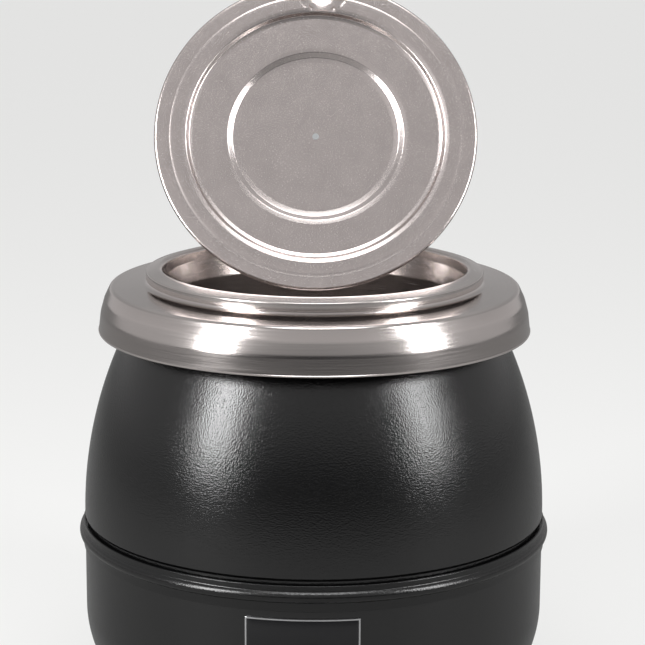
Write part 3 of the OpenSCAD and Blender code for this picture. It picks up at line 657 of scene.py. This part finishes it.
def spin_selected(steps, angle=2 * pi):
    """Spins about Z all that is drawn so far."""
    bpy.ops.mesh.select_all(action="SELECT")
    bpy.ops.mesh.spin(steps=steps, angle=angle, center=(0, 0, 0), axis=(0, 0, 1))
    bpy.ops.mesh.select_all(action="SELECT")


def turned(name, points, steps=192, closed=False, angle=2 * pi):
    """Spins a section into a solid. An open section starts and ends on the axis."""
    piece = draw_section(name, points, closed)
    bpy.ops.mesh.select_all(action="SELECT")
    bpy.ops.mesh.remove_doubles(threshold=1e-7)
    spin_selected(steps, angle)
    if angle < 2 * pi:
        bpy.ops.mesh.fill_holes(sides=4)
    leave_edit()
    tidy_mesh(piece)
    return piece


print("helpers: draw_section, spin_selected, turned")

# %% [markdown]
# ## Handing a piece over
# A finished piece still has to be told what it is. It takes the finish and the
# body of its node, it hides the node that it stands for, and it is shaded
# smooth except at edges that are really sharp. It also has to stay inside the
# node's box, so the function prints by how much it doesn't.

# %% Handing a piece over to the frame
slot_of = {s["node"]: s["material_slot"] for s in frame["record"]["subparts"]}
body_of = {member: body for body, members in frame["record"]["behaviour"]["bodies"].items()
           for member in members}


def outside(piece, node):
    """How far a piece reaches past its node's box, in mm; below zero is inside."""
    low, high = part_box(node)
    corners = [v.co for v in piece.data.vertices]
    return max(max(c[i] - high[i], low[i] - c[i]) for c in corners for i in range(3)) / mm


def hand_over(piece, node, smooth=32, finish=None, hide=True):
    """Gives a piece its finish, its body and the node that it stands for."""
    select_only(piece)
    bpy.ops.object.shade_smooth_by_angle(angle=radians(smooth))
    piece.data.materials.clear()
    piece.data.materials.append(mats[finish or slot_of[node]])
    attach(piece, body_of[node])
    if hide:
        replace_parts(piece, node)
    print("%-14s %6d faces, %.2f mm outside %s"
          % (piece.name, len(piece.data.polygons), outside(piece, node), node))


print("nodes with a finish:", len(slot_of), "and with a body:", len(body_of))

# %% [markdown]
# ## The pot
# The pot is drawn from one disc of stainless steel, so its whole section is
# one sheet, the same thickness everywhere. The lip is the part that everybody
# sees: its top falls outwards, its inner edge is well rounded, and its outer
# edge is turned down. A cup cut from a cylinder would have a lip with hard
# edges, so the whole section is drawn point by point, first up the inside and
# then down the outside.

# %% The pot's inside
pot_sheet = 1.2
mouth_r = 108.3
wall_r = 106.0
bottom_bend = 22
lip_fall = 2.2

pot_base = low_of("inset_pot").z
floor_z = pot_base + pot_sheet
edge_z = rim_z - lip_fall
bend_r, bend_z = wall_r - bottom_bend, floor_z + bottom_bend
inside = [(0, floor_z)]
inside += arc(bend_r, bend_z, bottom_bend, -90, 0, 14)
inside += [(wall_r, floor_z + 90), (wall_r, rim_z - 26)]
# Over its last 24 mm the wall widens to the mouth, in a soft double bend.
inside += rounded([(wall_r, rim_z - 26), (wall_r, rim_z - 24, 9),
                   (mouth_r - 0.2, rim_z - 9, 9), (mouth_r, rim_z - 4)])[1:-1]
inside += arc(mouth_r + 3, rim_z - 3, 3, 180, 92, 10)
print("inside of the pot:", len(inside), "points")

# %% The pot's lip and outside
lip = [(mouth_r + 5, rim_z - 0.42), (lip_r - 3, edge_z + 0.5)]
lip += arc(lip_r - 1.2, edge_z - 1.2, 1.2, 74, 0, 6)
lip += arc(lip_r - 0.6, edge_z - 5.6, 0.6, 0, -180, 8)
lip += [(lip_r - pot_sheet, edge_z - 1.2), (mouth_r + 3, edge_z - 1.2)]
skin = rounded([(mouth_r + 3, edge_z - 1.2), (mouth_r + pot_sheet, edge_z - 1.2, 1.6),
                (mouth_r + pot_sheet - 0.2, rim_z - 9)])[1:-1]
skin += rounded([(mouth_r + pot_sheet, rim_z - 6), (mouth_r + pot_sheet - 0.2, rim_z - 9, 9),
                 (wall_r + pot_sheet, rim_z - 24, 9), (wall_r + pot_sheet, rim_z - 26)])[1:]
skin += [(wall_r + pot_sheet, floor_z + 90)]
skin += arc(bend_r, bend_z, bottom_bend + pot_sheet, 0, -90, 14)
skin += [(0, pot_base)]
soup_pot = turned("soup_pot", inside + lip + skin, steps=240)
print("pot: sheet of %.1f mm, mouth %.1f mm across" % (pot_sheet, 2 * mouth_r))

# %% [markdown]
# ### The pot's tongue
# A tongue stands out from the back of the lip and carries the hinge. It is a
# plain plate with rounded corners. It could be extruded from the lip's faces,
# but they are curved, so a flattened block is joined to the pot's mesh.


# %% Modifiers
def apply_all(piece):
    """Applies every modifier, so the piece is a plain mesh."""
    select_only(piece)
    for modifier in list(piece.modifiers):
        bpy.ops.object.modifier_apply(modifier=modifier.name)


def soften(piece, width, segments=2, limit=35):
    """Rounds the sharp edges, as tumbling or deburring does."""
    bevel = piece.modifiers.new("soften", "BEVEL")
    bevel.width = width * mm
    bevel.segments = segments
    bevel.limit_method = "ANGLE"
    bevel.angle_limit = radians(limit)
    bevel.miter_outer = "MITER_ARC"
    apply_all(piece)


print("helpers: apply_all, soften")


# %% Blocks, and joining them
def plate(name, low, high, corner):
    """A block between two corners, in mm, with softened edges."""
    low, high = Vector(low) * mm, Vector(high) * mm
    bpy.ops.mesh.primitive_cube_add(size=1, location=(0, 0, 0))
    piece = bpy.context.object
    piece.name = name
    piece.data.name = name
    edit_all()
    bpy.ops.transform.resize(value=high - low)
    bpy.ops.transform.translate(value=(low + high) / 2)
    leave_edit()
    soften(piece, corner)
    return piece


def join(piece, *others):
    """Joins other pieces to this one."""
    select_only(piece)
    for other in others:
        other.select_set(True)
    bpy.ops.object.join()


print("helpers: plate, join")

# %% Tongue
tongue_half = 22
tongue = plate("tongue", (-tongue_half, mouth_r + 4, rim_z - pot_sheet),
               (tongue_half, high_of("inset_pot").y, rim_z), 0.35)
join(soup_pot, tongue)
hand_over(soup_pot, "inset_pot")

# %% [markdown]
# ## The collar
# The collar is spun from thin sheet. Under the lip it is a narrow neck, then
# it sweeps out in a cove to a flat shoulder, and falls in a skirt that ends
# in a rolled edge. Only the outer face is drawn here, and a Solidify modifier
# gives it the thickness of the sheet, so the two faces can't drift apart.

# %% Collar section
neck_r = 117.7
roll_r = 1.5
collar_sheet = 0.9

collar_high = high_of("collar_ring").z
shoulder = collar_high - 9.0
skirt_end = shoulder - 31.2
# Each point is a radius and a height, and a third number is its rounding.
collar_points = rounded([
    (neck_r - 3, collar_high - 0.02), (neck_r, collar_high - 0.02, 0.9), (neck_r, shoulder, 4.4),
    (145.5, shoulder - 0.4, 3.6), (149.9, shoulder - 9.6, 16), (152.5, shoulder - 19, 22),
    (collar_r - 0.4, skirt_end)], steps=8)
collar_points += arc(collar_r - roll_r, skirt_end - 0.3, roll_r, 0, -230, 14)
print("collar section:", len(collar_points), "points")

# %% Collar
collar = draw_section("collar", collar_points, False)
spin_selected(240)
bpy.ops.mesh.remove_doubles(threshold=1e-6)
bpy.ops.mesh.normals_make_consistent(inside=False)
leave_edit()
# An open sheet has no volume to tell its outside by. So the sheet's normals
# are compared with the directions that lead away from the kettle's axis.
if sum(p.normal.dot(Vector((p.center.x, p.center.y, 0.2)).normalized())
       for p in collar.data.polygons) < 0:
    flip_faces()
solidify = collar.modifiers.new("sheet", "SOLIDIFY")
solidify.thickness = collar_sheet * mm
solidify.offset = -1
apply_all(collar)
tidy_mesh(collar)
hand_over(collar, "collar_ring")

# %% [markdown]
# ## The upper casing
# Two deep-drawn shells meet under a joint band. The upper one draws in on a
# long arc towards the collar, and a short flange on top carries the collar.
# The arc could be a Bezier curve, but a die is turned to a plain radius, so
# its points are worked out on a circle from the arc's height and its draw-in.

# %% Upper casing: the arc of the wall
shell = 1.2
flange_r = 118.6
top_r = 126.0
wall_steps = 22

upper_top, upper_low = high_of("upper_casing").z, low_of("upper_casing").z
band_low, band_high = low_of("joint_band").z, high_of("joint_band").z
arc_z = band_high + 4.6
arc_top = upper_top - shell - 12
rise = arc_top - arc_z
draw_in = casing_r - top_r
arc_r = (rise ** 2 + draw_in ** 2) / (2 * draw_in)
levels = [rise * k / wall_steps for k in range(wall_steps + 1)]
wall = [(casing_r - arc_r + sqrt(arc_r ** 2 - level ** 2), arc_z + level) for level in levels]
back = [(r - shell, z) for r, z in wall]
print("wall: %.1f mm high, drawn in by %.1f mm, radius %.1f mm" % (rise, draw_in, arc_r))

# %% Upper casing
# The joggle is the narrow strip at the bottom, which plugs into the lower shell.
joggle_r = casing_r - 1.8
upper = [(joggle_r - shell, upper_low), (joggle_r, upper_low)]
upper += rounded([(joggle_r, upper_low), (joggle_r, arc_z - 2.2, 0.8),
                  (casing_r, arc_z, 1.2), wall[1]])[1:]
upper += wall[2:-1]
upper += rounded([wall[-2], (top_r, arc_top, 6), (128, upper_top - shell, 0.6),
                  (128, upper_top, 0.5), (flange_r, upper_top)])[1:]
upper += [(flange_r, upper_top - shell)]
upper += rounded([(flange_r, upper_top - shell), (126.6, upper_top - shell, 1.0),
                  (top_r - shell, arc_top, 6), back[-2]])[1:]
upper += back[-3:0:-1]
upper += [(casing_r - shell, arc_z), (joggle_r - shell, arc_z - 2.2)]
upper_shell = turned("upper_shell", upper, steps=240, closed=True)
hand_over(upper_shell, "upper_casing")

# %% [markdown]
# ## The lower casing
# The lower shell turns under on a big radius and ends in a flat hem, where the
# base plate is screwed. The holes for the shaft, the lamp and the cord are cut
# with small turned cutters and a Boolean modifier, as a drill would cut them.
# Deleting faces instead would leave ragged holes in a wall that is curved.

# %% Lower casing
turn_r = 82.0
turn_height = 58
hem_r = 133.2

casing_low, lower_top = low_of("lower_casing").z, high_of("lower_casing").z
corner_r, corner_z = casing_r - turn_r, casing_low + turn_height
end_angle = -degrees(asin(turn_height / turn_r))
back_r = turn_r - shell
back_angle = -degrees(asin((turn_height - shell) / back_r))
lower = [(casing_r, lower_top), (casing_r, lower_top - 18), (casing_r, corner_z + 16)]
lower += arc(corner_r, corner_z, turn_r, 0, end_angle, 20)
lower = lower[:-1] + rounded([lower[-2], lower[-1] + (1.0,), (hem_r, casing_low)])[1:]
lower += [(hem_r, casing_low + shell)]
lower += arc(corner_r, corner_z, back_r, 0, back_angle, 20)[::-1]
lower += [(casing_r - shell, z) for z in (corner_z + 16, lower_top - 18, lower_top)]
lower_shell = turned("lower_shell", lower, steps=240, closed=True)
print("lower shell: turns under from %.1f mm above the table" % corner_z)


# %% Placing and cutting
def place(piece, location, turn):
    """Moves the mesh, so the finished object stays at the origin."""
    piece.matrix_world = Matrix.Translation(location) @ turn.to_4x4()
    select_only(piece)
    bpy.ops.object.transform_apply(location=True, rotation=True, scale=True)


def cut(piece, cutter):
    """Takes the cutter's shape out of a piece, and removes the cutter."""
    boolean = piece.modifiers.new("cut", "BOOLEAN")
    boolean.operation = "DIFFERENCE"
    boolean.solver = "EXACT"
    boolean.object = cutter
    apply_all(piece)
    bpy.data.meshes.remove(cutter.data)


def middle_of(node):
    """Half-way height of a node, in mm."""
    return (low_of(node).z + high_of(node).z) / 2


print("helpers: place, cut, middle_of")

# %% Holes in the lower casing
control_z = middle_of("dial_plate")
facing = {"front": Matrix.Rotation(radians(90), 3, "X"),
          "back": Matrix.Rotation(radians(-90), 3, "X")}


def bore(radius, turn, z, side="front"):
    """A turned cutter that reaches from inside the casing outwards."""
    cutter = turned("cutter", [(0, 120), (radius, 120), (radius, 190), (0, 190)], steps=64)
    place(cutter, (0, 0, z * mm), Matrix.Rotation(radians(turn), 3, "Z") @ facing[side])
    return cutter


for hole, radius, turn, z, side in (("shaft", 5.4, 0, control_z, "front"),
                                    ("lamp", 4.6, 17, control_z, "front"),
                                    ("cord", 6.05, 0, middle_of("cord_gland"), "back")):
    cut(lower_shell, bore(radius, turn, z, side))
    print("%-5s hole %.1f mm across, %.1f mm above the table" % (hole, 2 * radius, z))
hand_over(lower_shell, "lower_casing")

# %% [markdown]
# ## The joint band
# A strip with a rolled bead hides the joint of the two casings. Where the bead
# rises from the strip there is a small hollow, which draws a thin dark line
# under the bright one. A plain torus on a strip would miss that line, so the
# hollow is in the section.

# %% Joint band
bead_size = 4
strip = 1.2
bead_z = band_low + 10
strip_r = casing_r + strip
meet = sqrt(bead_size ** 2 - strip ** 2)
band = [(casing_r + 0.02, band_low)]
band += rounded([(casing_r, band_low), (strip_r, band_low, 0.5),
                 (strip_r, bead_z - meet - 0.6)])[1:]
band += [(strip_r + 0.08, bead_z - meet - 0.22)]
band += arc(casing_r, bead_z, bead_size, -68, 68, 18)
band += [(strip_r + 0.08, bead_z + meet + 0.22)]
band += rounded([(strip_r, bead_z + meet + 0.6), (strip_r, band_high, 0.5),
                 (casing_r, band_high)])
band += [(casing_r, band_high - 4.5), (casing_r - 1.6, band_high - 4.5),
         (casing_r - 1.6, band_high - 6), (casing_r + 0.02, band_high - 6)]
bead_band = turned("bead_band", band, steps=240, closed=True)
hand_over(bead_band, "joint_band")

# %% [markdown]
# ## The blank badge
# The badge is a thin tray, bent to the casing, with a plain black face in it.
# A flat tray could be bent with a Simple Deform modifier. It is easier to spin
# a rectangle through a few degrees about the kettle's axis, because then it
# follows the casing exactly. Its outer face is inset for the border and pushed
# in.

# %% Badge helpers
badge_turn = -2.3


def bent_block(name, width, low, high, r_in, r_out, steps=28):
    """A block that follows the casing; its middle faces the front, turned a little."""
    sweep = width / casing_r
    piece = turned(name, [(r_in, low), (r_out, low), (r_out, high), (r_in, high)],
                   steps, True, sweep)
    place(piece, (0, 0, 0), Matrix.Rotation(radians(-90 + badge_turn) + sweep / 2, 3, "Z"))
    return piece


def pick(piece, parts, kind, wanted):
    """Selects the faces or vertices that are wanted, and stays in edit mode."""
    select_only(piece)
    bpy.ops.object.mode_set(mode="EDIT")
    bpy.ops.mesh.select_all(action="DESELECT")
    leave_edit()
    picked = [part for part in getattr(piece.data, parts) if wanted(part)]
    for part in picked:
        part.select = True
    bpy.ops.object.mode_set(mode="EDIT")
    bpy.ops.mesh.select_mode(type=kind)
    print("picked", len(picked), parts, "of", piece.name)


def looks_out(face):
    """True where a face looks straight away from the kettle's axis."""
    return face.normal.dot(Vector((face.center.x, face.center.y, 0)).normalized()) > 0.9


print("helpers: bent_block, pick, looks_out")

# %% Badge
badge_w = 77
border_w = 1.2

badge_low, badge_high = low_of("badge_frame").z, high_of("badge_frame").z
badge_rim = bent_block("badge_rim", badge_w, badge_low, badge_high, casing_r, casing_r + 1.4)
pick(badge_rim, "polygons", "FACE", looks_out)
bpy.ops.mesh.inset(thickness=border_w * mm, depth=0)
bpy.ops.mesh.inset(thickness=0.02 * mm, depth=-0.8 * mm)
leave_edit()
soften(badge_rim, 0.25, 2, 50)
hand_over(badge_rim, "badge_frame")

badge_panel = bent_block("badge_panel", badge_w - 2 * border_w, badge_low + border_w,
                         badge_high - border_w, casing_r + 0.6, casing_r + 1.1)
soften(badge_panel, 0.15, 2, 50)
hand_over(badge_panel, "badge_face")

# %% [markdown]
# ## The dial
# The dial is a disc whose back is cut to the curve of the casing, so it sits
# on it without a gap. Ten raised ticks stand on it, without figures. They are
# all alike, so one is modelled, and its copies are turned to their places.

# %% Copies
def copies(piece, count):
    """The piece and its copies, count in all, each with its own mesh."""
    out = [piece]
    while len(out) < count:
        select_only(piece)
        bpy.ops.object.duplicate(linked=False)
        out.append(bpy.context.object)
    return out


print("helper: copies")

# %% Dial
# The disc starts at dial_back, inside the casing, and the form cuts it off.
dial_r = 31
dial_back = 151
tick_count = 10
tick_step = 30

dial_front = -low_of("dial_plate").y
dial_face = turned("dial_face", rounded([
    (5.4, dial_back), (dial_r, dial_back), (dial_r, dial_front - 0.8, 0.9),
    (29.6, dial_front - 0.5), (5.4, dial_front - 0.5)]), steps=128, closed=True)
place(dial_face, (0, 0, control_z * mm), facing["front"])
form = turned("form", [(0, casing_low)] + arc(corner_r, corner_z, turn_r, end_angle, 0, 24)
              + [(casing_r, lower_top), (0, lower_top)], steps=240)
cut(dial_face, form)
tick = plate("tick", (-0.6, dial_front - 0.9, 25), (0.6, dial_front, 29), 0.15)
ticks = copies(tick, tick_count)
for k, tick in enumerate(ticks):
    place(tick, (0, 0, control_z * mm),
          Matrix.Rotation(radians(135 - tick_step * k), 3, "Y") @ Matrix.Rotation(pi, 3, "Z"))
join(dial_face, *ticks)
hand_over(dial_face, "dial_plate")

# %% [markdown]
# ## The control knob
# The knob is a moulded skirt with a grip bar across it and a pale pointer line
# let into the bar. The skirt is turned, and the bar is a softened block that
# passes through it. The pointer is a piece of its own, because it has another
# finish, and it rides on the knob's body so that it turns with it.

# %% Control knob
knob_back, knob_front = -high_of("control_knob").y, -low_of("control_knob").y
knob_place = (0, -knob_back * mm, control_z * mm)
depth = knob_front - knob_back
heat_knob = turned("heat_knob", rounded([
    (0, 0), (20.4, 0), (21, 0.6, 0.5), (21, 3, 0.8), (19.5, 4.5, 0.6), (18, 4.5, 1.2),
    (16.0, depth - 1.2, 1.6), (12, depth, 4), (0, depth - 0.2)]), steps=128)
join(heat_knob, plate("grip", (-4, -19, 3), (4, 19, depth), 1.2))
place(heat_knob, knob_place, facing["front"])
hand_over(heat_knob, "control_knob")

pointer = plate("knob_pointer", (-0.6, 9.6, depth - 0.9), (0.6, 19.4, depth - 0.02), 0.1)
place(pointer, knob_place, facing["front"])
hand_over(pointer, "control_knob", finish="aluminium", hide=False)

# %% [markdown]
# ## Feet
# Each foot is a turned rubber buffer with a rounded tread and a recess for its
# screw. One is modelled, and the others are copies with their own mesh. Linked
# copies would share one mesh, and each mesh has to keep its own place.

# %% Feet
foot_r = 13

foot_top = high_of("rubber_feet").z
foot_out = (high_of("rubber_feet").x - foot_r) * sqrt(2)
first_foot = turned("foot_1", rounded([
    (2.1, 3.2), (5, 3.2), (5, 0, 0.4), (12, 0), (foot_r, 1.2, 0.7),
    (11.2, foot_top - 0.6, 0.6), (10.2, foot_top), (2.1, foot_top)]), steps=72, closed=True)
for k, foot in enumerate(copies(first_foot, 4)):
    foot.name = "foot_%d" % (k + 1)
    angle = radians(45 + 90 * k)
    place(foot, Vector((cos(angle), sin(angle), 0)) * foot_out * mm, Matrix.Identity(3))
    hand_over(foot, "rubber_feet")

# %% [markdown]
# ## The lid
# The lid is one pressed disc. Seen from inside it has a flat border with a
# shallow groove, then a step, a middle ring, a second step and a flat centre,
# and its edge is rolled over. It is turned lying flat about its own middle,
# because that is far easier to measure, and is tipped into place at the end.

# %% The lid's own frame
hinge = [j for j in frame["joints"] if j["name"] == "lid_hinge"][0]
open_angle = radians(116)
pin_behind, pin_above = 74.2, 12.6

lid_turn = Matrix.Rotation(-open_angle, 3, "X")
lid_middle = Vector(hinge["pos_m"]) - lid_turn @ Vector((0, pin_behind, pin_above)) * mm
print("middle of the lid's edge:", [round(v / mm, 1) for v in lid_middle])


# %% Lid section
lid_sheet = 0.9
centre_z = 8.2


def lid_surface(lift):
    """The pressed face, from the middle to the border, raised by lift mm."""
    steps_and_flats = [
        (0, centre_z), (57.5, centre_z, 2.5), (61.4, 7.5, 2.0), (65.0, 5.2, 2.0),
        (68.5, 4.6, 2.5), (90.6, 4.6, 2.0), (93.4, 3.8, 1.6), (95.4, 1.1, 1.6),
        (98.6, 0.3, 3.0), (103.5, 0.0)]
    return rounded([(r, z + lift, *size) for r, z, *size in steps_and_flats], steps=5)


def groove(r):
    """Height of the border at a radius: a shallow groove runs at 108.2 mm."""
    return 0.28 * max(0.0, 1 - abs(r - 108.2) / 1.6)


border = [(r, groove(r)) for r in
          (104.8, 106.0, 106.8, 107.5, 108.2, 108.9, 109.6, 110.8, 112.4, 114.0, 115.6)]
lid_points = lid_surface(0) + border + arc(lid_r - 2, 2, 2, -90, 192, 22)
lid_points += [(lid_r - 4.3, 1.15), (114.0, lid_sheet)]
lid_points += [(r, z + lid_sheet) for r, z in border[-3::-1]] + lid_surface(lid_sheet)[::-1]
lid = turned("lid", lid_points, steps=288)
print("lid section:", len(lid_points), "points")

# %% [markdown]
# ### The arch for the ladle
# One edge of the lid is drawn up in an arch, so that a ladle can stay in the
# pot. A Boolean would cut a hole there and break the rolled edge. The edge is
# moved up instead, with proportional editing, because a press draws the sheet
# up in the same soft way.

# %% Ladle arch
arch_turn = radians(2.1)
arch_rise = 7.6
arch_reach = 16.4
picked_r = 1.9

arch = Matrix.Rotation(arch_turn, 3, "Z") @ Vector((0, -lid_r + 5, 0)) * mm
pick(lid, "vertices", "VERT",
     lambda v: (Vector((v.co.x, v.co.y, 0)) - arch).length < picked_r * mm)
bpy.ops.transform.translate(
    value=(0, 0, arch_rise * mm), use_proportional_edit=True, use_proportional_connected=False,
    proportional_edit_falloff="SPHERE", proportional_size=arch_reach * mm)
leave_edit()
print("arch drawn up to", round(max(v.co.z for v in lid.data.vertices) / mm, 1), "mm")
place(lid, lid_middle, lid_turn)
hand_over(lid, "lid_shell", smooth=40)

# %% [markdown]
# ## The lid's knob
# A waisted stem carries a wide cap with a domed top, so that fingers fit under
# it. Stacked cylinders would show where they meet. The section is turned
# instead, with every corner rounded as moulding needs.

# %% Lid knob
# The knob sits on a washer, and that lies on the middle of the lid.
washer = 1.2
seat = centre_z + lid_sheet + washer
stem = rounded([
    (2.5, 12), (2.5, 0), (11, 0, 0.4), (11, 2, 0.8), (8.5, 5, 3), (7.5, 9, 6), (8.5, 17, 6),
    (18, 20, 3), (20.4, 22, 1.6), (21, 24, 1.6), (20.6, 26.5, 2), (18, 29.6, 4), (13, 32, 8),
    (7, 33, 10), (0, 33)], steps=4)
lid_grip = turned("lid_grip", stem + [(0, 12)], steps=128)
place(lid_grip, lid_middle + lid_turn @ Vector((0, 0, seat * mm)), lid_turn)
hand_over(lid_grip, "lid_knob", smooth=40)

# %% [markdown]
# ## Pieces kept as they are
# Screws, nuts, wires and hinge plates are already the right shape. Modelling
# them again would add nothing that can be seen. They only need smooth shading
# across their round faces, and a finish.

# %% Finish the other nodes
replaced = set()
for piece in bpy.data.objects:
    replaced.update(piece.get("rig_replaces", []))
for name, obj in nodes.items():
    obj.data.materials.clear()
    obj.data.materials.append(mats[slot_of[name]])
    if name not in replaced:
        select_only(obj)
        bpy.ops.object.shade_smooth_by_angle(angle=radians(28))
print("kept", len(nodes) - len(replaced), "nodes, replaced", len(replaced))
